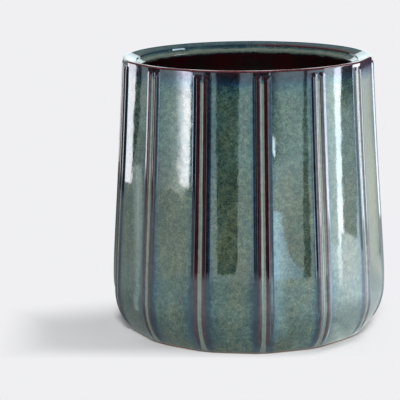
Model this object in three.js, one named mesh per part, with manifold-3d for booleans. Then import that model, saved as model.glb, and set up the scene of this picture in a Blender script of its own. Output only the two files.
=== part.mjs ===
// A slip-cast stoneware planter pot. Fourteen ribs, each a pair of beads, run from under its rim to its foot.
// A rubber bung closes the drain hole in its floor, and rubber dots in the recess under the floor carry it.
// Millimetres, +Z up. The pot's axis is Z, one rib faces -Y, and z = 0 is the surface that the dots stand on.

import * as THREE from 'three';
import { mergeVertices } from 'three/addons/utils/BufferGeometryUtils.js';
import Module from 'manifold-3d';

// Outside of the wall. Heights are above the foot ring, radii are to the wall beside a rib.
const potHeight = 175.5;
const bellyRadius = 89.0;
const footInset = 9.8; // how much smaller the foot's radius is than the belly's
const rimInset = 9.0; // how much smaller the rim's radius is than the belly's
const heelRadius = 40; // curve from the foot into the belly
const bellyUpright = 21; // height above the heel over which the wall stays near the upright
const neckHeight = 86; // height below the rim over which the wall follows the rim's batter
const neckBatter = 4.4; // how far the wall leans out over that height
const rimRound = 1.2;

// Ribs: a pair of beads at each corner of the wall, with flattened panels from foot to crest between the pairs.
const ribCount = 14;
const beadSpacing = 6.2; // from one bead's middle to the other's
const beadWidth = 5.0;
const beadHeight = 1.1;
const panelDip = 0.9; // depth of a panel's middle under the circle through the corners
const ribTopGap = 2.9; // plain wall between the crest and the beads' rounded ends
const ribTopRound = 3.2;
const ribFootFade = 6; // height over which the beads rise out of the foot

// Inside of the wall.
const wall = 7.0;
const floorThickness = 7.0;
const floorFillet = 8;
const crestLand = 0.5; // flat width along the top of the rim at the middle of a panel
const lipWidth = 6.2; // the lip slopes in from the crest
const lipDrop = 1.9;
const stepDrop = 1.3; // from the lip's edge down to the ledge
const stepWidth = 0.4;
const ledgeWidth = 3.4; // the ledge ends in a rounded nose, the narrowest place in the mouth
const ledgeDrop = 1.8;
const noseRadius = 1.5;
const throatHeight = 12; // under the nose, where the mouth opens out to the wall

// Underside and drain.
const recessDepth = 2.0;
const footRingWidth = 12;
const recessDraft = 0.8;
const drainRadius = 9.5;

// Bung.
const bungClearance = 0.3; // round the stem, and under the head
const stemTaper = 0.6;
const stemShort = 1.0; // the stem stops this far short of the floor's underside
const headRadius = 16;
const headThickness = 3.5;
const headRound = 1.2;
const tabWidth = 15;
const tabHeight = 14;
const tabThickness = 3.6;
const tabHoleRadius = 4.2;
const tabRoot = 1.5; // how deep the tab's root is buried in the head

// Dots under the floor.
const dotCount = 4;
const dotRadius = 7;
const dotInset = 3.5; // clear width between a dot and the foot ring
const dotStandoff = 0.5; // how far the dots hold the foot ring off the surface
const dotBond = 0.2; // layer of adhesive over a dot
const dotEdge = 0.5;

// Where the rows and columns of facets lie.
const beadStations = [-0.5, -0.17, 0.17, 0.5]; // across a bead, in bead widths
const panelStations = [0.25, 0.5, 0.75]; // across a panel
const wallStations = [0.12, 0.28, 0.46, 0.64, 0.82, 1]; // up the wall from the heel
const ribTopStations = [0.4, 0.75, 0.93, 1]; // up the beads' rounded ends
const insideStations = [0.25, 0.5, 0.75, 1]; // up the inside wall
const insideColumns = 56;
const heelSteps = 5;
const roundSteps = 3;
const noseSteps = 4;
const bungColumns = 40;
const tabSteps = 12;
const dotColumns = 28;
const weldDistance = 1e-4;

const wasm = await Module();
wasm.setup();

const glaze = new THREE.MeshStandardMaterial({ color: 0x66786c, roughness: 0.16, metalness: 0 });
const rubber = new THREE.MeshStandardMaterial({ color: 0x2b2b2c, roughness: 0.7, metalness: 0 });
const dotRubber = new THREE.MeshStandardMaterial({ color: 0x3a3733, roughness: 0.8, metalness: 0 });

function vec(r, z) {
  return new THREE.Vector2(r, z);
}

// A lathe turned upright, so that its axis is Z and its first column faces -Y.
function lathe(profile, columns) {
  return new THREE.LatheGeometry(profile, columns).rotateX(Math.PI / 2);
}

function toSolid(geometry) {
  const bare = geometry.clone();
  bare.deleteAttribute('normal');
  bare.deleteAttribute('uv');
  const merged = mergeVertices(bare, weldDistance);
  const index = merged.index.array;
  const triangles = [];
  for (let i = 0; i < index.length; i += 3) {
    const [a, b, c] = [index[i], index[i + 1], index[i + 2]];
    if (a !== b && b !== c && c !== a) triangles.push(a, b, c);
  }
  const mesh = new wasm.Mesh({
    numProp: 3,
    vertProperties: Float32Array.from(merged.attributes.position.array),
    triVerts: Uint32Array.from(triangles),
  });
  return new wasm.Manifold(mesh);
}

function toGeometry(solid) {
  const mesh = solid.getMesh();
  const geometry = new THREE.BufferGeometry();
  geometry.setAttribute('position', new THREE.BufferAttribute(mesh.vertProperties, 3));
  geometry.setIndex(new THREE.BufferAttribute(mesh.triVerts, 1));
  geometry.computeVertexNormals();
  return geometry;
}

// Side view of the wall: an arc from the foot to the belly, then one long curve up to the rim.
const footRadius = bellyRadius - footInset;
const rimRadius = bellyRadius - rimInset;
const heelTop = Math.sqrt(heelRadius ** 2 - (heelRadius - footInset) ** 2);
const rimTop = potHeight - rimRound;
const wallCurve = new THREE.CubicBezierCurve(
  vec(bellyRadius, heelTop),
  vec(bellyRadius, heelTop + bellyUpright),
  vec(rimRadius + neckBatter, rimTop - neckHeight),
  vec(rimRadius, rimTop),
);

function wallRadius(z) {
  if (z < heelTop) {
    return bellyRadius - heelRadius + Math.sqrt(heelRadius ** 2 - (heelTop - z) ** 2);
  }
  let low = 0;
  let high = 1;
  for (let i = 0; i < 40; i += 1) {
    const middle = (low + high) / 2;
    if (wallCurve.getPoint(middle).y < z) low = middle;
    else high = middle;
  }
  return wallCurve.getPoint(low).x;
}

// Plan of one rib and the panel after it, as distances round the belly from the rib's middle.
const pitch = (2 * Math.PI * bellyRadius) / ribCount;
const ribHalf = (beadSpacing + beadWidth) / 2;
const columnOffsets = [
  ...beadStations.map((u) => -beadSpacing / 2 + u * beadWidth),
  ...beadStations.map((u) => beadSpacing / 2 + u * beadWidth),
  ...panelStations.map((t) => ribHalf + t * (pitch - 2 * ribHalf)),
];

function beadRise(offset) {
  const u = (Math.abs(offset) - beadSpacing / 2) / (beadWidth / 2);
  return Math.abs(u) < 1 ? beadHeight * (1 - u * u) : 0;
}

function panelSink(offset) {
  if (offset <= ribHalf) return 0;
  const t = (offset - pitch / 2) / (pitch / 2 - ribHalf);
  return panelDip * (1 - t * t);
}

// The beads end in a quarter round under the rim and run out at the foot.
const ribTop = potHeight - ribTopGap;
function beadShare(z) {
  const top = THREE.MathUtils.clamp((ribTop - z) / ribTopRound, 0, 1);
  return Math.sqrt(1 - (1 - top) ** 2) * THREE.MathUtils.smoothstep(z, 0, ribFootFade);
}

// The whole outside as a lathe, with each column then moved to its own angle and each point to its own radius.
function ribbedBlank() {
  const rim = [];
  for (let i = 1; i <= roundSteps; i += 1) {
    const a = (i / roundSteps) * (Math.PI / 2);
    rim.push(vec(rimRadius - rimRound * (1 - Math.cos(a)), rimTop + rimRound * Math.sin(a)));
  }
  const heights = [];
  for (let i = 0; i <= heelSteps; i += 1) heights.push((heelTop * i) / heelSteps);
  const wallRise = ribTop - ribTopRound - heelTop;
  for (const t of wallStations) heights.push(heelTop + t * wallRise);
  for (const t of ribTopStations) heights.push(ribTop - ribTopRound + t * ribTopRound);
  heights.push(rimTop);
  const profile = [vec(0, 0), ...heights.map((z) => vec(wallRadius(z), z)), ...rim, vec(0, potHeight)];
  const count = columnOffsets.length * ribCount;
  const geometry = lathe(profile, count);
  const position = geometry.attributes.position;
  for (let i = 0; i < position.count; i += 1) {
    const column = Math.floor(i / profile.length) % count;
    const point = profile[i % profile.length];
    const offset = columnOffsets[column % columnOffsets.length];
    const sector = Math.floor(column / columnOffsets.length);
    const angle = (sector * pitch + offset) / bellyRadius;
    let r = point.x;
    if (r > 0) r += beadRise(offset) * beadShare(point.y) - panelSink(offset);
    position.setXYZ(i, r * Math.sin(angle), -r * Math.cos(angle), point.y);
  }
  return toSolid(geometry);
}

// Everything inside the pot, from the drain hole up past the crest.
const floorTop = recessDepth + floorThickness;
const crestInner = rimRadius - rimRound - panelDip - crestLand;
const lipInner = crestInner - lipWidth;
const ledgeOuter = lipInner - stepWidth;
const noseInner = ledgeOuter - ledgeWidth;
const noseHeight = potHeight - lipDrop - stepDrop - ledgeDrop - noseRadius;
const over = 2; // how far a cut runs past the face that it opens

function insideBlank() {
  const throat = noseHeight - throatHeight;
  const filletTop = floorTop + floorFillet;
  const profile = [vec(0, -over), vec(drainRadius, -over), vec(drainRadius, floorTop)];
  const filletRadius = wallRadius(filletTop) - wall - floorFillet;
  for (let i = 0; i <= roundSteps + 1; i += 1) {
    const a = (i / (roundSteps + 1)) * (Math.PI / 2);
    profile.push(vec(filletRadius + floorFillet * Math.sin(a), filletTop - floorFillet * Math.cos(a)));
  }
  for (const t of insideStations) {
    const z = filletTop + t * (throat - filletTop);
    profile.push(vec(wallRadius(z) - wall, z));
  }
  for (let i = 0; i <= noseSteps; i += 1) {
    const a = -Math.PI / 3 + (i / noseSteps) * ((Math.PI * 5) / 6);
    profile.push(vec(noseInner + noseRadius * (1 - Math.cos(a)), noseHeight + noseRadius * Math.sin(a)));
  }
  profile.push(vec(ledgeOuter, potHeight - lipDrop - stepDrop));
  profile.push(vec(lipInner, potHeight - lipDrop));
  profile.push(vec(crestInner, potHeight));
  profile.push(vec(crestInner, potHeight + over));
  profile.push(vec(0, potHeight + over));
  return toSolid(lathe(profile, insideColumns));
}

const recessRadius = footRadius - panelDip - footRingWidth;
function recessBlank() {
  const profile = [
    vec(0, -over),
    vec(recessRadius, -over),
    vec(recessRadius, 0),
    vec(recessRadius - recessDraft, recessDepth),
    vec(0, recessDepth),
  ];
  return toSolid(lathe(profile, insideColumns));
}

const pot = new THREE.Group();
pot.position.z = dotStandoff;

const potSolid = ribbedBlank().subtract(insideBlank()).subtract(recessBlank());
const potBody = new THREE.Mesh(toGeometry(potSolid), glaze);
potBody.name = 'pot_body';
pot.add(potBody);

// The bung's head lies over the drain hole, its stem fills the hole and its tab is for pulling it out.
function bungSolid() {
  const stemRadius = drainRadius - bungClearance;
  const stemLength = floorThickness + bungClearance - stemShort;
  const head = [
    vec(0, -stemLength),
    vec(stemRadius - stemTaper, -stemLength),
    vec(stemRadius, 0),
    vec(headRadius, 0),
    vec(headRadius, headThickness - headRound),
  ];
  for (let i = 1; i <= roundSteps; i += 1) {
    const a = (i / roundSteps) * (Math.PI / 2);
    const drop = headRound * (1 - Math.sin(a));
    head.push(vec(headRadius - headRound * (1 - Math.cos(a)), headThickness - drop));
  }
  head.push(vec(0, headThickness));
  const half = tabWidth / 2;
  const shoulder = tabHeight - half;
  const outline = new THREE.Shape();
  outline.moveTo(-half, -tabRoot);
  outline.lineTo(half, -tabRoot);
  outline.lineTo(half, shoulder);
  outline.absarc(0, shoulder, half, 0, Math.PI, false);
  outline.lineTo(-half, -tabRoot);
  const eye = new THREE.Path();
  eye.absarc(0, shoulder, tabHoleRadius, 0, 2 * Math.PI, true);
  outline.holes.push(eye);
  const extrusion = { depth: tabThickness, bevelEnabled: false, curveSegments: tabSteps };
  const tab = new THREE.ExtrudeGeometry(outline, extrusion);
  tab.translate(0, 0, -tabThickness / 2);
  tab.rotateX(Math.PI / 2);
  tab.translate(0, 0, headThickness);
  return toSolid(lathe(head, bungColumns)).add(toSolid(tab));
}

const bung = new THREE.Mesh(toGeometry(bungSolid()), rubber);
bung.name = 'drain_bung';
bung.position.z = floorTop + bungClearance;
pot.add(bung);

// Each dot is stuck to the recessed floor just inside the foot ring.
const dotHeight = dotStandoff + recessDepth - dotBond;
const dotCircle = recessRadius - recessDraft - dotInset - dotRadius;
const dotProfile = [
  vec(0, 0),
  vec(dotRadius - dotEdge, 0),
  vec(dotRadius, dotEdge),
  vec(dotRadius, dotHeight),
  vec(0, dotHeight),
];
for (let i = 0; i < dotCount; i += 1) {
  const angle = ((i + 0.5) / dotCount) * 2 * Math.PI;
  const dot = new THREE.Mesh(toGeometry(toSolid(lathe(dotProfile, dotColumns))), dotRubber);
  dot.name = `foot_dot_${i + 1}`;
  dot.position.set(dotCircle * Math.sin(angle), -dotCircle * Math.cos(angle), -dotStandoff);
  pot.add(dot);
}

export default pot;
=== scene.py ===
import math

import bpy
from mathutils import Euler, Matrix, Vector


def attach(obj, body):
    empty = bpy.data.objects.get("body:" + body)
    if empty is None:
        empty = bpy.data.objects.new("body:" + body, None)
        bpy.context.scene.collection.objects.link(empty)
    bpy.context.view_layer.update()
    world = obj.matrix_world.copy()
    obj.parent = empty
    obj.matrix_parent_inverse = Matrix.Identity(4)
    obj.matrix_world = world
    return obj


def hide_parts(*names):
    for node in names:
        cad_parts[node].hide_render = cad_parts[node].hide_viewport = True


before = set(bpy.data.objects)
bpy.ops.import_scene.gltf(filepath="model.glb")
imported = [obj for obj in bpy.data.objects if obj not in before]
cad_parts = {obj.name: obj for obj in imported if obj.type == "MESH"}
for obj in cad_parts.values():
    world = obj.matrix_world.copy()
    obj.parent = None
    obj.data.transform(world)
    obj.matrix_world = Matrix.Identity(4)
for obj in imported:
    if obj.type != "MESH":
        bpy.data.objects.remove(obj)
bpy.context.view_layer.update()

# The pot is one shell of slip-cast stoneware, glazed and fired. Fourteen ribs, each a pair of
# beads, run from under the rim to the foot, and the panels between them are slightly dished.
# The rim slopes in to a step and a ledge with a rounded nose. Sizes here are in millimetres.
MM = 0.001
STANDOFF = 0.5
POT_HEIGHT = 175.5
BELLY_RADIUS = 89.0
FOOT_INSET = 9.8
RIM_INSET = 9.0
RIM_RADIUS = BELLY_RADIUS - RIM_INSET
HEEL_RADIUS = 40.0
HEEL_TOP = math.sqrt(HEEL_RADIUS ** 2 - (HEEL_RADIUS - FOOT_INSET) ** 2)
RIM_ROUND = 1.2
RIM_TOP = POT_HEIGHT - RIM_ROUND
BELLY_RISE = 21.0
SHOULDER_OUT = 4.4
SHOULDER_DROP = 86.0
WALL_CURVE = (
    (BELLY_RADIUS, HEEL_TOP),
    (BELLY_RADIUS, HEEL_TOP + BELLY_RISE),
    (RIM_RADIUS + SHOULDER_OUT, RIM_TOP - SHOULDER_DROP),
    (RIM_RADIUS, RIM_TOP),
)
WALL_HALVINGS = 40

CREST_WIDTH = 1.4
CREST_FILLET = 2.0
# Radius, depth under the crest, fillet and steps of each corner of the rim, going in.
RIM_CORNERS = (
    (71.2, 1.9, 0.5, 4),
    (70.8, 3.2, 0.4, 3),
    (67.45, 5.6, 1.3, 7),
    (68.0, 8.0, 1.2, 4),
)
WALL_THICKNESS = 7.0
INSIDE_TOP = 157.0
INSIDE_TOP_FILLET = 10.0
INSIDE_HEIGHTS = (120.0, 85.0, 50.0)
FLOOR_TOP = 9.0
FLOOR_BEND = 17.0
FLOOR_FILLET = 8.0
DRAIN_RADIUS = 9.5
RECESS_TOP = 2.0
RECESS_RADIUS = 65.5
FOOT_RING_RADIUS = 66.3
EDGE_FILLET = 0.6
FOOT_RING_FILLET = 0.3
GLAZE_STOP = 0.7

RIB_COUNT = 14
PITCH = 2 * math.pi * BELLY_RADIUS / RIB_COUNT
BEAD_CENTRE = 3.1
BEAD_HALF = 2.6
BEAD_HEIGHT = 0.96
BEAD_FULLNESS = 1.4
RIB_HALF = 5.6
PANEL_DIP = 0.9
RIB_TOP_DROP = 2.9
RIB_TOP = POT_HEIGHT - RIB_TOP_DROP
RIB_TOP_ROUND = 3.2
RIB_FOOT_FADE = 6.0

HEEL_ROWS = 14
WALL_ROWS = 30
RIM_ROWS = 18
RIM_ROUND_ROWS = 8
RIM_BAND = 6.0
RIM_BAND_FOOT = RIB_TOP - RIM_BAND
INSIDE_STEP = 6.0
RIB_COLUMN = 0.55
RIB_COLUMNS_A_SIDE = 12
PANEL_MARGIN = 0.85
PANEL_START = RIB_HALF + PANEL_MARGIN
PANEL_COLUMNS = 10


def smooth(low, high, x):
    t = min(max((x - low) / (high - low), 0.0), 1.0)
    return t * t * (3 - 2 * t)


def wall_radius(z):
    if z < HEEL_TOP:
        return BELLY_RADIUS - HEEL_RADIUS + math.sqrt(HEEL_RADIUS ** 2 - (HEEL_TOP - z) ** 2)
    low, high = 0.0, 1.0
    for _ in range(WALL_HALVINGS):
        t = (low + high) / 2
        weights = ((1 - t) ** 3, 3 * t * (1 - t) ** 2, 3 * t * t * (1 - t), t ** 3)
        if sum(w * p[1] for w, p in zip(weights, WALL_CURVE)) < z:
            low = t
        else:
            high = t
    return sum(w * p[0] for w, p in zip(weights, WALL_CURVE))


def inside_radius(z):
    return wall_radius(z) - WALL_THICKNESS


def rounded(corners):
    """A side view through corners given as (radius, height, fillet, steps)."""
    line = []
    for i, (r, z, fillet, steps) in enumerate(corners):
        here = Vector((r, z))
        if fillet == 0 or i in (0, len(corners) - 1):
            line.append(here)
            continue
        before = (Vector(corners[i - 1][:2]) - here).normalized()
        after = (Vector(corners[i + 1][:2]) - here).normalized()
        half = before.angle(after) / 2
        reach = fillet / math.tan(half)
        centre = here + (before + after).normalized() * (fillet / math.sin(half))
        start = here + before * reach - centre
        end = here + after * reach - centre
        bend = start.angle_signed(end)
        for k in range(steps + 1):
            a = -bend * k / steps
            c, s = math.cos(a), math.sin(a)
            line.append(centre + Vector((c * start.x - s * start.y, s * start.x + c * start.y)))
    return line


def spread(line, step):
    """The same side view with points no further apart than the step."""
    out = [line[0]]
    for a, b in zip(line, line[1:]):
        count = max(1, math.ceil((b - a).length / step))
        out += [a.lerp(b, (k + 1) / count) for k in range(count)]
    return out


outside_heights = [0.0]
for low, high, count in (
    (0.0, HEEL_TOP, HEEL_ROWS),
    (HEEL_TOP, RIM_BAND_FOOT, WALL_ROWS),
    (RIM_BAND_FOOT, RIM_TOP, RIM_ROWS),
):
    outside_heights += [low + (high - low) * i / count for i in range(1, count + 1)]
outside = [Vector((wall_radius(z), z)) for z in outside_heights]
for i in range(1, RIM_ROUND_ROWS + 1):
    a = math.pi / 2 * i / RIM_ROUND_ROWS
    outside.append(Vector((
        RIM_RADIUS - RIM_ROUND * (1 - math.cos(a)),
        RIM_TOP + RIM_ROUND * math.sin(a),
    )))
crest = outside[-1]

inside = [(crest.x, crest.y, 0, 0), (crest.x - CREST_WIDTH, crest.y, CREST_FILLET, 5)]
inside += [(r, POT_HEIGHT - depth, fillet, steps) for r, depth, fillet, steps in RIM_CORNERS]
inside += [(inside_radius(INSIDE_TOP), INSIDE_TOP, INSIDE_TOP_FILLET, 5)]
inside += [(inside_radius(z), z, 0, 0) for z in INSIDE_HEIGHTS]
inside += [
    (inside_radius(FLOOR_BEND), FLOOR_TOP, FLOOR_FILLET, 7),
    (DRAIN_RADIUS, FLOOR_TOP, EDGE_FILLET, 3),
    (DRAIN_RADIUS, RECESS_TOP, EDGE_FILLET, 3),
    (RECESS_RADIUS, RECESS_TOP, EDGE_FILLET, 3),
    (FOOT_RING_RADIUS, 0.0, FOOT_RING_FILLET, 2),
    (outside[0].x, outside[0].y, 0, 0),
]
profile = outside + spread(rounded(inside), INSIDE_STEP)[1:-1]

# How far each row lies from the crest along the side view: positive down the outside, and
# negative down the inside.
crest_row = len(outside) - 1
run = [0.0] * len(profile)
for i in range(crest_row - 1, -1, -1):
    run[i] = run[i + 1] + (profile[i] - profile[i + 1]).length
for i in range(crest_row + 1, len(profile)):
    run[i] = run[i - 1] - (profile[i] - profile[i - 1]).length
foot_run = run[0]

# Each column is a place along the belly and its distance from the middle of the nearest rib.
rib_columns = [RIB_COLUMN * i for i in range(-RIB_COLUMNS_A_SIDE, RIB_COLUMNS_A_SIDE + 1)]
panel_width = PITCH - 2 * PANEL_START
panel_columns = [PANEL_START + panel_width * i / PANEL_COLUMNS for i in range(1, PANEL_COLUMNS)]
columns = []
for rib in range(RIB_COUNT):
    columns += [(rib * PITCH + offset, abs(offset)) for offset in rib_columns]
    columns += [(rib * PITCH + offset, min(offset, PITCH - offset)) for offset in panel_columns]


def bead_rise(from_rib, z):
    u = (from_rib - BEAD_CENTRE) / BEAD_HALF
    if abs(u) >= 1:
        return 0.0
    top = min(max((RIB_TOP - z) / RIB_TOP_ROUND, 0.0), 1.0)
    share = math.sqrt(1 - (1 - top) ** 2) * smooth(0.0, RIB_FOOT_FADE, z)
    return BEAD_HEIGHT * (1 - u * u) ** BEAD_FULLNESS * share


def panel_sink(from_rib):
    if from_rib <= RIB_HALF:
        return 0.0
    t = (PITCH / 2 - from_rib) / (PITCH / 2 - RIB_HALF)
    return PANEL_DIP * (1 - t * t)


points = []
across_values = []
run_values = []
bare_values = []
for along, from_rib in columns:
    angle = along / BELLY_RADIUS
    for row, point in enumerate(profile):
        r = point.x
        if row <= crest_row:
            r += bead_rise(from_rib, point.y) - panel_sink(from_rib)
        points.append((
            MM * r * math.sin(angle),
            -MM * r * math.cos(angle),
            MM * (point.y + STANDOFF),
        ))
        across_values.append(from_rib)
        run_values.append(run[row])
        under = row > crest_row and point.y < FLOOR_TOP - GLAZE_STOP
        bare_values.append(1.0 if under or row == 0 else 0.0)

rows = len(profile)
faces = []
for column in range(len(columns)):
    here = column * rows
    after = (column + 1) % len(columns) * rows
    for row in range(rows):
        up = (row + 1) % rows
        faces.append((here + row, after + row, after + up, here + up))

pot_mesh = bpy.data.meshes.new("pot")
pot_mesh.from_pydata(points, [], faces)
for name, values in (("across", across_values), ("run", run_values), ("bare", bare_values)):
    pot_mesh.attributes.new(name, "FLOAT", "POINT").data.foreach_set("value", values)
pot_mesh.shade_smooth()
pot = bpy.data.objects.new("pot", pot_mesh)
bpy.context.scene.collection.objects.link(pot)

# The glaze is reactive: maroon where it has run thin, on the beads and the crest, then purple,
# navy and teal as it thickens, and green-grey with a fine mottle where it lies thick. Inside it
# is thin and nearly black. These are its colours by thickness, from 0 to 1.
THIN_TO_THICK = (
    (0.00, (0.022, 0.0006, 0.0018)),
    (0.09, (0.020, 0.0010, 0.0032)),
    (0.16, (0.018, 0.0080, 0.0115)),
    (0.22, (0.009, 0.0075, 0.0115)),
    (0.30, (0.006, 0.010, 0.018)),
    (0.36, (0.006, 0.016, 0.034)),
    (0.43, (0.008, 0.026, 0.046)),
    (0.54, (0.020, 0.048, 0.051)),
    (0.66, (0.033, 0.064, 0.051)),
    (0.76, (0.044, 0.069, 0.048)),
    (0.86, (0.053, 0.074, 0.054)),
    # The last, pale stop is reached only in the grooves: pooled glaze, made paler partly as a
    # painted reflection.
    (1.00, (0.160, 0.170, 0.143)),
)
UNTINTED = (1, 1, 1, 1)
LOW_MAROON = (0.032, 0.007, 0.009, 1)
STEP_MAROON = (0.046, 0.006, 0.008, 1)
CREST_RED = (0.115, 0.021, 0.025, 1)
COOL_TO_WARM = ((0.36, (0.79, 0.98, 1.12)), (0.64, (1.08, 1.0, 0.88)))
INSIDE_GLAZE = (
    (0.35, (0.030, 0.003, 0.005)),
    (0.60, (0.014, 0.006, 0.007)),
    (0.78, (0.009, 0.018, 0.014)),
)
BARE_CLAY = ((0.3, (0.13, 0.060, 0.034)), (0.7, (0.25, 0.115, 0.062)))
LUSTRE_COOL_TO_WARM = ((0.34, (0.80, 0.975, 1.0)), (0.66, (1.0, 0.985, 0.92)))
LUSTRE_THIN_TO_THICK = (
    (0.05, (0.88, 0.78, 0.83)),
    (0.24, (0.80, 0.77, 0.92)),
    (0.44, (0.82, 0.94, 1.0)),
    (0.62, (1.0, 1.0, 1.0)),
)

# How thick the glaze lies by millimetres from a rib's middle, and by millimetres from the crest.
ACROSS_A_RIB = (
    (0.0, 1.0), (1.0, 0.98), (1.45, 0.30), (1.75, 0.03), (3.35, 0.03), (3.8, 0.20),
    (4.4, 0.29), (5.6, 0.34), (6.8, 0.50), (8.4, 0.64), (11.0, 0.73), (20.0, 0.76),
)
DOWN_FROM_THE_CREST = (
    (-16.5, 0.05), (-15.0, 0.20), (-14.1, 0.92), (-11.0, 0.94), (-10.2, 0.60), (-8.6, 0.50),
    (-7.4, 0.40), (-6.2, 0.48), (-4.0, 0.58), (-1.8, 0.42), (-0.6, 0.05), (1.2, 0.12),
    (2.2, 0.18), (4.2, 0.24), (6.4, 0.32), (8.8, 0.42), (11.0, 0.55), (14.5, 0.68), (24.0, 1.0),
)
THICKER_WITH_HEIGHT = (
    (0.0, 0.0), (14.0, -0.05), (45.0, 0.02), (110.0, 0.02), (140.0, -0.085), (165.0, -0.05),
    (178.0, 0.05),
)
BLUE_SPREAD = ((95.0, 1.0), (145.0, 0.80), (162.0, 0.84), (178.0, 1.35))
HUE_WITH_HEIGHT = (
    (8.0, 0.0), (16.0, 0.02), (44.0, 0.02), (80.0, 0.16), (122.0, 0.17), (138.0, 0.05),
    (152.0, 0.06), (175.0, 0.12),
)
HUE_MIDDLE = 0.13

# Soft edges, each from where a band starts to where it is full. They are in millimetres from a
# rib's middle or from the crest, or in shares of the thickness.
BLUE_EDGE = 4.4
EDGE_WANDER = 2.6
RIM_WANDER = 1.4
FOOT_WANDER = 0.15
WANDER_BESIDE_A_RIB = (3.4, 8.0)
NAVY_FOOT = (foot_run - 15.0, foot_run - 6.0, 0.0, 0.36)
GROOVE_EDGE = (1.55, 1.05)
GROOVE_TOP = (5.5, 9.0)
GROOVE_POOL_AND_PAINTED_SHEEN = 0.98
RIM_TO_RIBS = (2.6, 5.0)
LOOSENS = (0.25, 0.62, 0.06, 1.0)
POOLS = (0.80, 0.95)
PANEL_THICKEST = 0.88
MAROON_THIN = (0.16, 0.08)
LOW_ON_A_RIB = (110.0, 140.0)
STEP_LINE = ((-9.6, -8.4), (-5.6, -6.8))
CREST_LINE = ((-1.6, -0.6), (1.6, 0.9))
TINTS_SHOW = ((0.40, 0.60), (0.96, 0.86, 0.25, 1.0))
INTO_THE_MOUTH = (-13.5, -17.0)
FOOT_WIPED = (foot_run - 1.3, foot_run - 0.9)
BEAD_FLANK = ((3.9, 4.5), (6.6, 5.6))
BEAD_TOP = ((1.4, 1.8), (3.6, 3.2))
DULL_DOWN_TO = ((4.0, 7.0), (130.0, 123.0))
# These two are in metres to the right of the axis.
STEP_LINE_STARTS = (0.0, 0.03)
DULL_ACROSS_FRONT = ((-0.058, -0.048), (0.030, 0.015))

# The gloss of wet-looking glaze and of dry clay, how far it is dulled, and the fine ripple.
GLOSS = (0.025, 0.055)
CLAY_MATTER = 0.65
FLANK_DULLED = 0.60
TOP_DULLED = 0.86
GLAZE_IOR = 2.0
RIPPLE_STRENGTH = 0.05
RIPPLE_DEPTH = 0.0006
RIPPLE_SPECKLE = 0.03

# A noise lies about its middle, mostly within this span.
GRAIN_MIDDLE = 0.5
GRAIN_SPAN = (0.3, 0.7)


def work_on(tree):
    """The node helpers below add to this tree from here on."""
    global nodes, links
    nodes, links = tree.nodes, tree.links


def new_finish(name):
    """A material to build up, with its shader and the place on the object at hand."""
    global shader, place
    finish = bpy.data.materials.new(name)
    finish.use_nodes = True
    work_on(finish.node_tree)
    shader = nodes["Principled BSDF"]
    place = nodes.new("ShaderNodeTexCoord").outputs["Object"]
    return finish


def feed(socket, value):
    if isinstance(value, bpy.types.NodeSocket):
        links.new(value, socket)
    else:
        socket.default_value = value


def reckon(operation, a, b=0.0, c=0.0):
    node = nodes.new("ShaderNodeMath")
    node.operation = operation
    for socket, value in zip(node.inputs, (a, b, c)):
        feed(socket, value)
    return node.outputs[0]


def fade(value, low, high, start=0.0, end=1.0):
    node = nodes.new("ShaderNodeMapRange")
    node.interpolation_type = "SMOOTHSTEP"
    for socket, number in zip(node.inputs, (value, low, high, start, end)):
        feed(socket, number)
    return node.outputs[0]


def band(value, rise, fall):
    """A number that is full between two soft edges along the value."""
    return reckon("MULTIPLY", fade(value, *rise), fade(value, *fall))


def swing(noise, amount, about=0.0):
    """A number that a noise swings both ways."""
    return reckon("MULTIPLY_ADD", reckon("SUBTRACT", noise, GRAIN_MIDDLE), amount, about)


def stopped_ramp(stops):
    """A colour ramp with stops of (position, colour)."""
    ramp = nodes.new("ShaderNodeValToRGB")
    elements = ramp.color_ramp.elements
    for i, (position, colour) in enumerate(stops):
        stop = elements[i] if i < 2 else elements.new(1.0)
        stop.position = position
        stop.color = (*colour, 1)
    return ramp


def curve(value, stops):
    """A number that follows stops of (place, number) along the value."""
    low, high = stops[0][0], stops[-1][0]
    along = nodes.new("ShaderNodeMapRange")
    for socket, number in zip(along.inputs, (value, low, high)):
        feed(socket, number)
    ramp = stopped_ramp([((x - low) / (high - low), [number] * 3) for x, number in stops])
    ramp.color_ramp.interpolation = "EASE"
    links.new(along.outputs[0], ramp.inputs[0])
    return ramp.outputs[0]


def colours(value, stops):
    ramp = stopped_ramp(stops)
    links.new(value, ramp.inputs[0])
    return ramp.outputs[0]


def mixed(share, a, b, blend="MIX"):
    node = nodes.new("ShaderNodeMix")
    node.data_type = "RGBA"
    node.blend_type = blend
    number_share, colour_a, colour_b = node.inputs[0], node.inputs[6], node.inputs[7]
    for socket, value in ((number_share, share), (colour_a, a), (colour_b, b)):
        feed(socket, value)
    colour_out = node.outputs[2]
    return colour_out


def tinted(colour, tint):
    return mixed(1.0, colour, tint, "MULTIPLY")


def mixed_number(share, a, b):
    node = nodes.new("ShaderNodeMix")
    number_share, number_a, number_b = node.inputs[0], node.inputs[2], node.inputs[3]
    for socket, value in ((number_share, share), (number_a, a), (number_b, b)):
        feed(socket, value)
    return node.outputs[0]


def measured(name):
    node = nodes.new("ShaderNodeAttribute")
    node.attribute_name = name
    return node.outputs["Fac"]


def grain(per_metre, detail=3.0, rough=0.55, stretch=1.0):
    where = place
    if stretch != 1.0:
        squeeze = nodes.new("ShaderNodeMapping")
        squeeze.inputs["Scale"].default_value = (1, 1, 1 / stretch)
        links.new(place, squeeze.inputs[0])
        where = squeeze.outputs[0]
    node = nodes.new("ShaderNodeTexNoise")
    node.inputs["Scale"].default_value = per_metre
    node.inputs["Detail"].default_value = detail
    node.inputs["Roughness"].default_value = rough
    links.new(where, node.inputs["Vector"])
    return node.outputs[0]


def sides_of(position):
    node = nodes.new("ShaderNodeSeparateXYZ")
    links.new(position, node.inputs[0])
    return node.outputs


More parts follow.
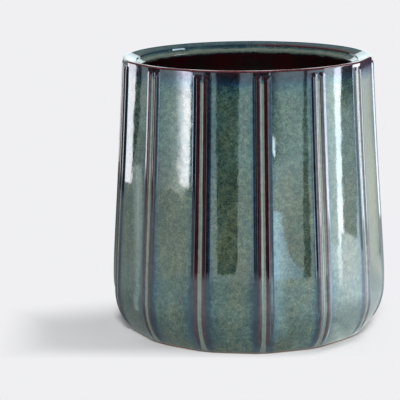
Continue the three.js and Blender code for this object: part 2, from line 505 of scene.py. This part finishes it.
def skin(height, strength, depth):
    """The fine relief of the surface."""
    node = nodes.new("ShaderNodeBump")
    node.inputs["Strength"].default_value = strength
    node.inputs["Distance"].default_value = depth
    links.new(height, node.inputs["Height"])
    links.new(node.outputs[0], shader.inputs["Normal"])


glaze = new_finish("reactive glaze")
across = measured("across")
from_crest = measured("run")
bare = measured("bare")
to_the_right = sides_of(place)[0]
patches = grain(62.0, 3.0, 0.55, 1.5)
mottle = grain(330.0, 4.0, 0.62)
runs = grain(150.0, 3.0, 0.6, 6.0)
speckle = grain(1000.0, 2.0, 0.65)

# The thickness. Each edge of a band wanders by about a millimetre, and the blue beside the ribs
# widens as it runs down and draws in again at the foot.
wander = swing(runs, EDGE_WANDER)
beside = reckon("SUBTRACT", across, BLUE_EDGE)
beside = reckon("MULTIPLY", beside, curve(from_crest, BLUE_SPREAD))
rib_place = reckon("MINIMUM", across, reckon("ADD", beside, BLUE_EDGE))
rib_place = reckon("MULTIPLY_ADD", wander, fade(across, *WANDER_BESIDE_A_RIB), rib_place)
rim_place = reckon("MULTIPLY_ADD", wander, RIM_WANDER, from_crest)
rim_thick = curve(rim_place, DOWN_FROM_THE_CREST)
rib_thick = reckon("MINIMUM", curve(rib_place, ACROSS_A_RIB), rim_thick)
rib_thick = reckon("MAXIMUM", rib_thick, fade(from_crest, *NAVY_FOOT))
# In the grooves the glaze is taken nearly to the thickest, palest colour: partly pooled glaze and
# partly a painted reflection.
groove_pool_and_painted_sheen = reckon("MULTIPLY", fade(across, *GROOVE_EDGE), fade(from_crest, *GROOVE_TOP))
rib_thick = mixed_number(groove_pool_and_painted_sheen, rib_thick, GROOVE_POOL_AND_PAINTED_SHEEN)
thick = mixed_number(fade(from_crest, *RIM_TO_RIBS), rim_thick, rib_thick)
pooled = fade(thick, *POOLS)
loose = curve(from_crest, THICKER_WITH_HEIGHT)
for noise, amount in ((mottle, 0.24), (patches, 0.50), (speckle, 0.05)):
    loose = swing(noise, amount, loose)
loose = reckon("MULTIPLY", loose, fade(thick, *LOOSENS))
loose = reckon("MULTIPLY", loose, reckon("SUBTRACT", 1.0, pooled))
thickest = mixed_number(pooled, PANEL_THICKEST, 1.0)
thick = reckon("MINIMUM", reckon("ADD", thick, loose), thickest)

# The colour, with red lines on the crest and the step, and then the flecks and tints.
fired = colours(thick, THIN_TO_THICK)
low_red = reckon("MULTIPLY", fade(thick, *MAROON_THIN), fade(from_crest, *LOW_ON_A_RIB))
fired = mixed(low_red, fired, LOW_MAROON)
step_line = band(rim_place, *STEP_LINE)
step_line = reckon("MULTIPLY", step_line, fade(to_the_right, *STEP_LINE_STARTS))
fired = mixed(step_line, fired, STEP_MAROON)
fired = mixed(band(from_crest, *CREST_LINE), fired, CREST_RED)
flecks = fade(speckle, *GRAIN_SPAN, 0.56, 1.44)
for noise, dark, light in ((mottle, 0.70, 1.30), (patches, 0.82, 1.18)):
    flecks = reckon("MULTIPLY", flecks, fade(noise, *GRAIN_SPAN, dark, light))
flecks = mixed_number(pooled, flecks, fade(mottle, *GRAIN_SPAN, 0.85, 1.1))
hue = reckon("SUBTRACT", curve(from_crest, HUE_WITH_HEIGHT), HUE_MIDDLE)
warmth = reckon("ADD", swing(mottle, 0.45, grain(120.0, 3.0, 0.6, 1.8)), hue)
warmth = mixed(band(thick, *TINTS_SHOW), UNTINTED, colours(warmth, COOL_TO_WARM))
fired = tinted(tinted(fired, warmth), flecks)
inside_glaze = colours(swing(mottle, 0.4, patches), INSIDE_GLAZE)
glazed = mixed(fade(from_crest, *INTO_THE_MOUTH), fired, inside_glaze)
foot_line = fade(reckon("MULTIPLY_ADD", wander, FOOT_WANDER, from_crest), *FOOT_WIPED)
foot_line = reckon("MAXIMUM", bare, foot_line)
clay = colours(grain(900.0, 4.0, 0.65), BARE_CLAY)
links.new(mixed(foot_line, glazed, clay), shader.inputs["Base Color"])

# The gloss. It is duller on the beads that face the front, and it takes a tint from the glaze.
gloss = fade(grain(240.0, 3.0), *GRAIN_SPAN, *GLOSS)
gloss = reckon("MULTIPLY_ADD", foot_line, CLAY_MATTER, gloss)
links.new(gloss, shader.inputs["Roughness"])
shader.inputs["IOR"].default_value = GLAZE_IOR
dulled = reckon("MULTIPLY", band(across, *BEAD_TOP), TOP_DULLED)
dulled = reckon("MULTIPLY_ADD", band(across, *BEAD_FLANK), FLANK_DULLED, dulled)
dulled = reckon("MULTIPLY", dulled, band(to_the_right, *DULL_ACROSS_FRONT))
dulled = reckon("MULTIPLY", dulled, band(from_crest, *DULL_DOWN_TO))
shine_share = swing(speckle, 0.24, swing(mottle, 0.34, 0.5))
shine_share = reckon("MULTIPLY", shine_share, reckon("SUBTRACT", 1.0, dulled))
links.new(shine_share, shader.inputs["Specular IOR Level"])
lustre_hue = reckon("ADD", swing(mottle, 0.42, grain(48.0, 3.0, 0.6, 3.5)), hue)
lustre = tinted(colours(lustre_hue, LUSTRE_COOL_TO_WARM), colours(thick, LUSTRE_THIN_TO_THICK))
links.new(lustre, shader.inputs["Specular Tint"])
ripple = reckon("MULTIPLY_ADD", speckle, RIPPLE_SPECKLE, grain(90.0, 1.0))
skin(ripple, RIPPLE_STRENGTH, RIPPLE_DEPTH)
pot_mesh.materials.append(glaze)
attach(pot, "pot")
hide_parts("pot_body")

# The bung is moulded in one piece from black rubber, with a head over the drain hole, a stem that
# is pressed into it and a pull tab. The matt mould leaves a fine grain, and handling leaves the
# rubber a little paler in places.
BUNG_DARK = (0.016, 0.016, 0.017)
BUNG_PALE = (0.034, 0.034, 0.035)
RUBBER_STOPS = (0.3, 0.75)
RUBBER_RELIEF = 0.0002


def rubber(name, dark, pale, blotches, matt_grain, matt, relief_grain, relief):
    """A matt rubber, with the scale of its blotches and grains in counts for each metre."""
    finish = new_finish(name)
    blotched = colours(grain(blotches, 4.0), tuple(zip(RUBBER_STOPS, (dark, pale))))
    links.new(blotched, shader.inputs["Base Color"])
    links.new(fade(grain(matt_grain, 3.0), *GRAIN_SPAN, *matt), shader.inputs["Roughness"])
    skin(grain(relief_grain, 2.0), relief, RUBBER_RELIEF)
    return finish


def dress(node, finish):
    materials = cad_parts[node].data.materials
    materials.clear()
    materials.append(finish)


bung_rubber = rubber(
    "bung rubber", BUNG_DARK, BUNG_PALE,
    blotches=260.0, matt_grain=700.0, matt=(0.55, 0.75), relief_grain=2600.0, relief=0.25,
)
dress("drain_bung", bung_rubber)

# The four dots are punched from rubber sheet and stuck to the recessed underside of the floor,
# where they carry the pot. The sheet is greyer than the bung and has a finer, fabric-faced grain.
DOT_COUNT = 4
DOT_DARK = (0.030, 0.028, 0.025)
DOT_PALE = (0.055, 0.052, 0.047)
dot_rubber = rubber(
    "dot rubber", DOT_DARK, DOT_PALE,
    blotches=500.0, matt_grain=900.0, matt=(0.65, 0.85), relief_grain=3200.0, relief=0.3,
)
for i in range(1, DOT_COUNT + 1):
    dress(f"foot_dot_{i}", dot_rubber)

# The table is a board painted matt and pale, and the pot stands on it on its dots. It shows the
# pot's soft shadow at the left, and away from that it runs into the backdrop with no line.
# Edges here are in metres to the right of the pot's axis, or behind it.
BACKDROP = (0.87, 0.87, 0.885)
TABLE_PAINT = (0.86, 0.86, 0.87, 1)
TABLE_ROUGHNESS = 0.9
TABLE_HALF = 6
SHADOW_TURN = math.radians(6.4)
SHADOW_SLANTS_FROM = -0.085
SHADOW_SLANT = 0.3
ENDS_BEHIND = (-0.012, 0.055)
THINS_IN_FRONT = (-0.060, -0.087, 0.0, 0.75)
ENDS_IN_FRONT = (-0.074, -0.0868)
ENDS_LEFT = (-0.12, -0.17)
ENDS_RIGHT = (0.055, 0.105)
FOOT_SHADE_LIFT = (0.098, 0.084, 0.0, 0.14)
BEHIND_FRONT_EDGE = (-0.060, -0.035)


def most(first, *others):
    for other in others:
        first = reckon("MAXIMUM", first, other)
    return first


def seen():
    """Full for rays that see a thing, straight or mirrored, and nought for light that lands."""
    path = nodes.new("ShaderNodeLightPath").outputs
    return most(path["Is Camera Ray"], path["Is Glossy Ray"], path["Is Transmission Ray"])


def lit_or_seen(share, lit, look, output):
    """What light lands on is one shader, and what is seen is another."""
    blend = nodes.new("ShaderNodeMixShader")
    links.new(share, blend.inputs[0])
    links.new(lit.outputs[0], blend.inputs[1])
    links.new(look.outputs[0], blend.inputs[2])
    links.new(blend.outputs[0], nodes[output].inputs["Surface"])


table_mesh = bpy.data.meshes.new("table")
table_mesh.from_pydata([
    (-TABLE_HALF, -TABLE_HALF, 0), (TABLE_HALF, -TABLE_HALF, 0),
    (TABLE_HALF, TABLE_HALF, 0), (-TABLE_HALF, TABLE_HALF, 0),
], [], [(0, 1, 2, 3)])
table = bpy.data.objects.new("table", table_mesh)
bpy.context.scene.collection.objects.link(table)
table_paint = new_finish("table paint")
shader.inputs["Base Color"].default_value = TABLE_PAINT
shader.inputs["Roughness"].default_value = TABLE_ROUGHNESS
shader.inputs["Specular IOR Level"].default_value = 0.0
turned = nodes.new("ShaderNodeMapping")
turned.inputs["Rotation"].default_value[2] = SHADOW_TURN
links.new(place, turned.inputs[0])
aside, behind = sides_of(turned.outputs[0])[:2]
past_pot = reckon("MAXIMUM", reckon("SUBTRACT", SHADOW_SLANTS_FROM, aside), 0.0)
slanted = reckon("MULTIPLY_ADD", past_pot, SHADOW_SLANT, behind)
from_axis = reckon("MULTIPLY_ADD", aside, aside, reckon("MULTIPLY", behind, behind))
from_axis = reckon("SQRT", from_axis)
# By the foot a little of the backdrop's glow lies over the table's contact shade: painted light
# that lifts that shade.
foot_shade_lift = fade(from_axis, *FOOT_SHADE_LIFT)
no_shadow = most(
    fade(slanted, *ENDS_BEHIND),
    fade(behind, *THINS_IN_FRONT),
    fade(behind, *ENDS_IN_FRONT),
    fade(aside, *ENDS_LEFT),
    fade(aside, *ENDS_RIGHT),
    reckon("MULTIPLY", foot_shade_lift, fade(behind, *BEHIND_FRONT_EDGE)),
)
plain_table = nodes.new("ShaderNodeEmission")
plain_table.inputs["Color"].default_value = (*BACKDROP, 1)
lit_or_seen(reckon("MULTIPLY", seen(), no_shadow), shader, plain_table, "Material Output")
table_mesh.materials.append(table_paint)

# The backdrop is a sheet of pale paper all round, in the colour of the table. What it gives as
# light is weaker than what it shows: an even fill with a slight blue.
FILL_LIGHT = (0.97, 0.98, 1.0, 1)
FILL_STRENGTH = 0.16
studio = bpy.data.worlds.new("studio")
bpy.context.scene.world = studio
studio.use_nodes = True
work_on(studio.node_tree)
fill = nodes["Background"]
fill.inputs["Color"].default_value = FILL_LIGHT
fill.inputs["Strength"].default_value = FILL_STRENGTH
paper = nodes.new("ShaderNodeBackground")
paper.inputs["Color"].default_value = (*BACKDROP, 1)
lit_or_seen(seen(), fill, paper, "World Output")

# Soft boxes light the pot: lamps behind white cloth. The main one hangs high at the right, so that
# a shadow as wide as the pot falls to the left, and others hang above it and behind the camera.
# The glaze doesn't mirror them: it mirrors the cards below.
LAMP_AIM = Vector((0, 0, 0.05))


def round_the_pot(azimuth, distance, height):
    """A place by degrees to the right of the front, and by metres from the axis and up."""
    a = math.radians(azimuth)
    return (distance * math.sin(a), -distance * math.cos(a), height)


def soft_box(name, azimuth, height, distance, width, tall, watts):
    lamp = bpy.data.lights.new(name, "AREA")
    lamp.shape = "RECTANGLE"
    lamp.size = width
    lamp.size_y = tall
    lamp.energy = watts
    box = bpy.data.objects.new(name, lamp)
    box.location = round_the_pot(azimuth, distance, height)
    box.rotation_euler = (LAMP_AIM - box.location).to_track_quat("-Z", "Y").to_euler()
    box.visible_camera = False
    box.visible_glossy = False
    bpy.context.scene.collection.objects.link(box)


soft_box("main soft box", 92, height=1.25, distance=0.46, width=0.36, tall=0.36, watts=5.4)
soft_box("top soft box", 180, height=1.5, distance=0.05, width=1.0, tall=1.0, watts=3.2)
soft_box("front soft box", -6.4, height=1.1, distance=1.5, width=0.3, tall=0.5, watts=25.0)

# Cards and flags stand round the pot, out of the picture, for its glaze to mirror. They are glowing
# sheets, white or black, bent to follow a circle round the pot. Only mirrored rays see them, so
# they paint the reflections on the glaze and light nothing. A card may lean round the pot by some
# degrees for each metre of height.
COOL = (0.84, 0.975, 0.965)
WHITE = (0.92, 0.965, 1.04)
ROSE = (1.01, 0.965, 1.03)
BACK_LEFT_ROSE = (1.04, 0.965, 1.0)
LOW_BLUE = (0.64, 0.88, 1.05)
LOW_SHEEN_BLUE = (0.74, 0.94, 1.0)
BACK_BLUE = (0.84, 0.97, 1.0)
BLACK = 0.02

# The cards' glow is an emission that only mirrored rays see: it paints the reflections.
card_glow = bpy.data.materials.new("card")
card_glow.use_nodes = True
work_on(card_glow.node_tree)
nodes.remove(nodes["Principled BSDF"])
shine = nodes.new("ShaderNodeEmission")
painted = nodes.new("ShaderNodeAttribute")
painted.attribute_name = "glow"
links.new(painted.outputs["Color"], shine.inputs["Color"])
links.new(shine.outputs[0], nodes["Material Output"].inputs["Surface"])


def lay(name, corners, brightness, tint=COOL):
    """A strip through pairs of corners, each with its own brightness."""
    mesh = bpy.data.meshes.new(name)
    quads = [(i, i + 2, i + 3, i + 1) for i in range(0, len(corners) - 2, 2)]
    mesh.from_pydata(corners, [], quads)
    tints = tint if isinstance(tint, list) else [tint] * len(brightness)
    glow = [b * channel for b, own in zip(brightness, tints) for channel in (*own, 1)]
    mesh.attributes.new("glow", "FLOAT_COLOR", "POINT").data.foreach_set("color", glow)
    mesh.materials.append(card_glow)
    screen = bpy.data.objects.new(name, mesh)
    screen.visible_camera = False
    screen.visible_diffuse = False
    screen.visible_shadow = False
    bpy.context.scene.collection.objects.link(screen)


def card(name, distance, strip, lean=0.0, tint=COOL):
    """A card with columns of (azimuth, foot, head, brightness), or of two brightnesses."""
    corners = []
    brightness = []
    for azimuth, low, high, b in strip:
        corners += [round_the_pot(azimuth + lean * z, distance, z) for z in (low, high)]
        brightness += b if isinstance(b, tuple) else (b, b)
    lay(name, corners, brightness, tint)


def level_card(name, distance, foot, head, strip, lean=0.0, tint=COOL):
    """A card with level edges, and with columns of (azimuth, brightness)."""
    card(name, distance, [(azimuth, foot, head, b) for azimuth, b in strip], lean, tint)


# In front: a flag round the camera, and cards beside it that end in a dark head at the right.
FLAGS_AT = 0.40
CARDS_AT = 0.41
FRONT_HEAD = 0.21
FLAG_FOOT = 0.006
CARD_DIMS_FROM = 0.088
CARD_DIMS_TO = 0.104
card("front flag", FLAGS_AT, [(azimuth, foot, FRONT_HEAD, BLACK) for azimuth, foot in (
    (-21.85, 0.011), (-20.2, 0.009), (-18.2, 0.010), (-17.3, 0.012), (-16.9, 0.017),
)])
level_card("front card", CARDS_AT, 0.0, FRONT_HEAD, ((-26.0, 1.2), (-19.0, 1.2), (-11.5, 1.2)))
level_card("camera flag", FLAGS_AT, FLAG_FOOT, FRONT_HEAD, (
    (-11.5, BLACK), (0.0, BLACK), (11.5, BLACK),
))
level_card("right front gap", CARDS_AT, 0.0, FRONT_HEAD, ((11.4, 2.4), (20.5, 2.4)))
level_card("left front flag", FLAGS_AT, FLAG_FOOT, FRONT_HEAD, (
    (-57.0, 1.0), (-43.0, 0.9), (-39.0, BLACK), (-26.0, BLACK),
))
level_card("right front card", CARDS_AT, 0.0, CARD_DIMS_FROM, (
    (20.5, (1.0, 1.8)), (26.5, (1.0, 1.8)), (33.3, (1.0, 1.5)),
))
level_card("right front card top", CARDS_AT, CARD_DIMS_FROM, CARD_DIMS_TO, (
    (20.5, (1.8, 0.1)), (25.2, (1.8, 0.2)), (27.5, (1.8, 1.3)), (33.3, 1.5),
))
level_card("right front card head", CARDS_AT, CARD_DIMS_TO, FRONT_HEAD, (
    (20.5, 0.1), (25.2, 0.2), (27.5, 1.35), (33.3, 1.5),
))
lay("right front flag", [round_the_pot(azimuth, FLAGS_AT, z) for azimuth, z in (
    (31.3, 0.0), (32.5, FRONT_HEAD), (33.3, 0.0), (33.0, FRONT_HEAD),
)], [0.12] * 4)
card("window gap", 0.404, (
    (24.75, 0.107, 0.110, 6.0), (25.2, 0.101, 0.118, 9.0), (25.6, 0.106, 0.110, 6.0),
), tint=WHITE)
card("low card", 0.405, [(azimuth, 0.0, head, b) for azimuth, head, b in (
    (20.5, 0.063, 4.3), (24.6, 0.061, 4.1), (26.0, 0.060, 3.1), (27.1, 0.037, 2.6),
    (28.6, 0.020, 2.1), (30.5, 0.011, 1.8), (32.4, 0.005, 1.4),
)], tint=LOW_BLUE)

# Glowing streaks just above the table, seen only in the glaze as painted reflections, in rows of
# a distance, three azimuths and their brightness.
STREAK_HEIGHT = 0.0011
LOW_SHEEN = (
    (0.405, (22.2, 24.6, 27.5), (3.6, 2.8, 1.5)),
    (0.34, (21.6, 23.8, 26.4), (3.0, 2.3, 1.4)),
    (0.275, (20.1, 22.3, 24.9), (2.6, 2.1, 1.3)),
    (0.19, (16.9, 19.0, 21.8), (2.5, 2.0, 1.2)),
    (0.12, (11.0, 13.4, 16.4), (2.1, 1.6, 1.0)),
    (0.088, (6.6, 8.6, 12.2), (0.9, 0.8, 0.7)),
)
LEFT_SHEEN = (
    (0.90, (-122.0, -119.6, -118.2), (0.6, 1.6, 1.1)),
    (0.65, (-119.3, -116.8, -115.3), (0.6, 1.55, 1.1)),
    (0.475, (-116.0, -113.4, -111.9), (0.62, 1.45, 1.0)),
    (0.33, (-110.9, -108.3, -106.8), (0.68, 1.3, 0.9)),
    (0.20, (-101.3, -99.0, -97.5), (0.55, 1.15, 0.8)),
    (0.112, (-84.2, -81.5, -80.2), (0.30, 1.2, 0.8)),
)
for name, streak, tint in (
    ("low card sheen", LOW_SHEEN, LOW_SHEEN_BLUE),
    ("left sheen", LEFT_SHEEN, COOL),
):
    for half in ((0, 1), (1, 2)):
        corners = [
            round_the_pot(azimuths[k], distance, STREAK_HEIGHT)
            for distance, azimuths, _ in streak for k in half
        ]
        lay(name, corners, [glows[k] for _, _, glows in streak for k in half], tint)

# At the left: a card that brightens into a leaning strip light, a flag, and a strip light behind.
LEFT_HEAD = 0.24
LEFT_FOOT = 0.029
LEFT_STRIP_FOOT = 0.036
LEFT_LEAN = -8.0
level_card("left card", 0.80, LEFT_FOOT, LEFT_HEAD, (
    (-76.0, 0.9), (-73.0, 1.15), (-70.8, 1.35), (-69.0, 2.3), (-67.0, 2.3),
))
level_card("left front card", 0.785, LEFT_FOOT, LEFT_HEAD, (
    (-65.7, 0.5), (-62.0, 0.8), (-56.0, 1.0),
), LEFT_LEAN)
level_card("left strip light", 0.79, LEFT_STRIP_FOOT, LEFT_HEAD, (
    (-68.9, 1.5), (-68.4, 2.8), (-67.9, 4.6), (-67.5, 6.0), (-67.0, 7.2), (-65.6, 7.4),
), LEFT_LEAN, [WHITE] * 6 + [ROSE] * 6)
level_card("left flag", 0.78, 0.0, LEFT_HEAD, ((-113.0, BLACK), (-95.0, BLACK), (-76.0, BLACK)))
level_card("back left strip light", 0.75, 0.0, LEFT_HEAD, (
    (-140.0, 4.6), (-130.0, 4.6), (-120.6, 4.6),
), tint=BACK_LEFT_ROSE)
card("back left flag", 0.74, (
    (-121.0, 0.004, LEFT_HEAD, 0.05), (-119.1, 0.06, LEFT_HEAD, 0.05),
))

# At the right: a card with a leaning strip light at its end, a flag that darkens upwards, and the
# cloth of a wide side light.
RIGHT_HEAD = 0.22
RIGHT_AT = 0.49
RIGHT_LEAN = 14.0
RIGHT_STRIP = 8.2
RIGHT_STRIP_LIFT = 0.012
FLAG_DARKENS_FROM = 0.108
FLAG_DARKENS_TO = 0.128
RIGHT_FLAG = (77.95, 79.5, 82.5)
STRIP_SHEEN_HALF = 0.6
STRIP_SHEEN_HEIGHT = 0.0012
level_card("right card", 0.50, 0.0, RIGHT_HEAD, (
    (33.2, 1.4), (55.0, 1.6), (74.9, 3.2), (78.5, 3.4),
))
card("right strip light", RIGHT_AT, [(a, foot, RIGHT_HEAD, RIGHT_STRIP) for a, foot in (
    (76.4, 0.0), (77.0, 0.0), (77.3, RIGHT_STRIP_LIFT), (77.95, RIGHT_STRIP_LIFT),
)], RIGHT_LEAN, WHITE)
# Below the strip light a glowing streak on the table, seen only in the glaze: a painted reflection.
strip_sheen = ((76.4, 0.49, 7.0), (74.7, 0.40, 6.0), (71.4, 0.30, 5.0), (68.1, 0.24, 3.6))
lay("right strip sheen", [
    round_the_pot(azimuth + side, distance, STRIP_SHEEN_HEIGHT)
    for azimuth, distance, _ in strip_sheen for side in (-STRIP_SHEEN_HALF, STRIP_SHEEN_HALF)
], [b for _, _, b in strip_sheen for _ in range(2)], WHITE)
card("right flag", RIGHT_AT, [
    (azimuth, foot, FLAG_DARKENS_FROM, b)
    for azimuth, foot, b in zip(RIGHT_FLAG, (RIGHT_STRIP_LIFT, 0.009, 0.002), (1.35, 1.3, 1.25))
], RIGHT_LEAN)
for name, foot, head, b in (
    ("right flag top", FLAG_DARKENS_FROM, FLAG_DARKENS_TO, (1.3, 0.2)),
    ("right flag head", FLAG_DARKENS_TO, RIGHT_HEAD, (0.2, 0.1)),
):
    level_card(name, RIGHT_AT, foot, head, [(azimuth, b) for azimuth in RIGHT_FLAG], RIGHT_LEAN)
level_card("right side light", 0.52, 0.0, RIGHT_HEAD, (
    (82.0, 3.0), (88.0, 7.0), (100.0, 8.0), (109.0, 8.0), (111.0, 1.5),
), tint=WHITE)
level_card("right top light", 0.60, 0.32, 0.50, ((72.0, 5.0), (90.0, 5.0)), tint=WHITE)

# Behind and above: a soft light for the far inside of the rim, and dark flags for the rest.
BACK_HEAD = 0.42
ROOM_AT = 1.25
WALL_TOP = 0.30
CEILING = 1.3
CEILING_HALF = 1.3
level_card("back light", 0.95, 0.1, BACK_HEAD, (
    (150.0, 1.8), (165.0, 1.8), (180.0, 1.9), (195.0, 1.1), (210.0, 0.6),
), tint=BACK_BLUE)
level_card("back flag", 0.96, BACK_HEAD, CEILING, [(a, 0.3) for a in range(140, 221, 20)])
level_card("high flag", ROOM_AT, WALL_TOP, CEILING, [(a, 0.12) for a in range(-150, 151, 20)])
lay("ceiling flag", [
    (x, y, CEILING) for x in (-CEILING_HALF, CEILING_HALF) for y in (-CEILING_HALF, CEILING_HALF)
], [0.15] * 4)

# The glaze also mirrors glowing sheets in place of the table and the walls of the room: a painted
# reflection, brighter towards the main light. Like the cards, only mirrored rays see them. They are
# laid flat round the foot and stood up beyond it.
# Each row is an azimuth, and the brightness by the foot, on the table and on the wall.
FOOT_EDGE = 0.078
NEAR_EDGE = 0.20
SHEEN_HEIGHT = 0.0006
SIDE_TINT = (0.92, 0.99, 0.98)
RIGHT_TINT = (0.85, 0.97, 1.02)
LEFT_OF_FRONT = -60
RIGHT_OF_FRONT = 55
ROUND_THE_ROOM = (
    (-180, 0.2, 0.12, 0.25), (-155, 0.2, 0.15, 0.25), (-135, 0.3, 0.38, 0.9),
    (-122, 0.35, 0.56, 0.92), (-110, 0.3, 0.70, 0.95), (-95, 0.26, 0.58, 0.95),
    (-70, 0.34, 1.0, 1.25), (-45, 0.5, 0.85, 1.0), (-20, 0.5, 0.85, 1.0), (10, 0.6, 1.0, 1.1),
    (28, 0.85, 1.4, 1.3), (38, 1.4, 1.9, 1.4), (41, 1.8, 2.1, 1.4), (43.5, 1.6, 2.2, 1.45),
    (47, 1.3, 2.3, 1.5), (53, 1.5, 3.3, 1.5), (56, 1.4, 3.0, 1.5), (62, 1.2, 3.0, 1.55),
    (72, 0.7, 3.8, 1.6), (90, 0.6, 3.0, 1.7), (105, 0.6, 2.1, 1.9), (122, 0.4, 1.6, 1.6),
    (138, 0.4, 1.0, 1.2), (155, 0.4, 0.5, 0.9), (180, 0.2, 0.12, 0.25),
)
near, near_glow, near_tint = [], [], []
beyond, beyond_glow, beyond_tint = [], [], []
for azimuth, by_foot, on_table, _ in ROUND_THE_ROOM:
    near += [round_the_pot(azimuth, r, SHEEN_HEIGHT) for r in (FOOT_EDGE, NEAR_EDGE)]
    beyond += [round_the_pot(azimuth, r, SHEEN_HEIGHT) for r in (NEAR_EDGE, ROOM_AT)]
    near_glow += [by_foot, on_table]
    beyond_glow += [on_table, on_table]
    foot_tint = COOL if LEFT_OF_FRONT < azimuth < RIGHT_OF_FRONT else SIDE_TINT
    table_tint = COOL if azimuth < RIGHT_OF_FRONT else RIGHT_TINT
    near_tint += [foot_tint, table_tint]
    beyond_tint += [table_tint, table_tint]
lay("near sheen", near, near_glow, near_tint)
lay("far sheen", beyond, beyond_glow, beyond_tint)
level_card("room", ROOM_AT, 0.0, WALL_TOP, [(row[0], row[3]) for row in ROUND_THE_ROOM])

# On the right the painted reflection of the table and wall darkens towards the back. The columns,
# of (azimuth, slide, share, tint), turn with the distance on the table, and stand upright on the
# wall.
RIGHT_SHEEN_HEIGHT = 0.0009
RIGHT_WALL_AT = 1.10
RIGHT_COLUMNS = (
    (100, 0.0, 1.1, (0.86, 0.97, 0.98)),
    (112, 0.3, 1.0, (0.86, 0.97, 0.98)),
    (120, 0.6, 0.95, (0.93, 1.0, 0.95)),
    (131, 1.0, 1.05, (0.95, 1.0, 0.92)),
    (134, 1.0, 0.97, (0.94, 1.0, 0.89)),
    (136, 1.0, 0.80, (0.90, 1.0, 0.94)),
    (138, 1.0, 0.40, (0.80, 0.98, 1.04)),
    (142, 0.8, 0.35, (0.80, 0.97, 1.04)),
    (155, 0.0, 0.35, (0.86, 0.94, 1.0)),
    (166, 0.0, 0.2, (0.92, 0.94, 1.0)),
)
# Distance, brightness and turn of each row on the table, and height and colour of each on the wall.
RIGHT_TABLE = (
    (0.086, 1.15, 15.0), (0.13, 1.15, 15.0), (0.26, 1.45, 15.0), (0.40, 1.5, 7.6),
    (0.63, 1.52, 2.8), (1.11, 1.42, 0.4),
)
RIGHT_WALL = (
    (0.0, (1.35, 1.43, 1.32)), (0.044, (1.35, 1.48, 1.44)), (0.053, (0.85, 1.0, 1.2)),
    (0.061, (0.22, 0.15, 0.24)), (WALL_TOP, (0.16, 0.08, 0.10)),
)
for two_rows in zip(RIGHT_TABLE, RIGHT_TABLE[1:]):
    patch, patch_glow, patch_tint = [], [], []
    for azimuth, slide, share, tint in RIGHT_COLUMNS:
        for distance, b, turn in two_rows:
            patch.append(round_the_pot(azimuth - slide * turn, distance, RIGHT_SHEEN_HEIGHT))
            patch_glow.append(share * b)
            patch_tint.append(tint)
    lay("right sheen", patch, patch_glow, patch_tint)
for (low, low_tint), (high, high_tint) in zip(RIGHT_WALL, RIGHT_WALL[1:]):
    level_card("right room", RIGHT_WALL_AT, low, high, [
        (azimuth, share) for azimuth, _, share, _ in RIGHT_COLUMNS
    ], tint=[low_tint, high_tint] * len(RIGHT_COLUMNS))

# The camera stands a metre away, a little above the rim and slightly left of the front rib. It is
# turned so that the pot lies right of the middle of a square picture. Places in it are in pixels.
VIEW_AZIMUTH = math.radians(-6.4)
VIEW_ELEVATION = math.radians(12.03)
VIEW_DISTANCE = 1.0
VIEW_ROLL = math.radians(-0.28)
FOCAL_PIXELS = 1525.6
PICTURE_PIXELS = 400
POT_AT = (247.3, 188.6)
POT_MIDDLE = Vector((0, 0, 0.088))
SENSOR_WIDTH = 36.0
camera_data = bpy.data.cameras.new("camera")
camera_data.sensor_width = SENSOR_WIDTH
camera_data.lens = SENSOR_WIDTH * FOCAL_PIXELS / PICTURE_PIXELS
camera = bpy.data.objects.new("camera", camera_data)
back = Vector((
    math.sin(VIEW_AZIMUTH) * math.cos(VIEW_ELEVATION),
    -math.cos(VIEW_AZIMUTH) * math.cos(VIEW_ELEVATION),
    math.sin(VIEW_ELEVATION),
))
camera.location = POT_MIDDLE + back * VIEW_DISTANCE
pan, tilt = (math.atan((p - PICTURE_PIXELS / 2) / FOCAL_PIXELS) for p in POT_AT)
aim = Euler((tilt, pan, VIEW_ROLL))
camera.rotation_mode = "QUATERNION"
camera.rotation_quaternion = back.to_track_quat("Z", "Y") @ aim.to_quaternion()
bpy.context.scene.collection.objects.link(camera)
bpy.context.scene.camera = camera
bpy.context.scene.view_settings.view_transform = "Standard"
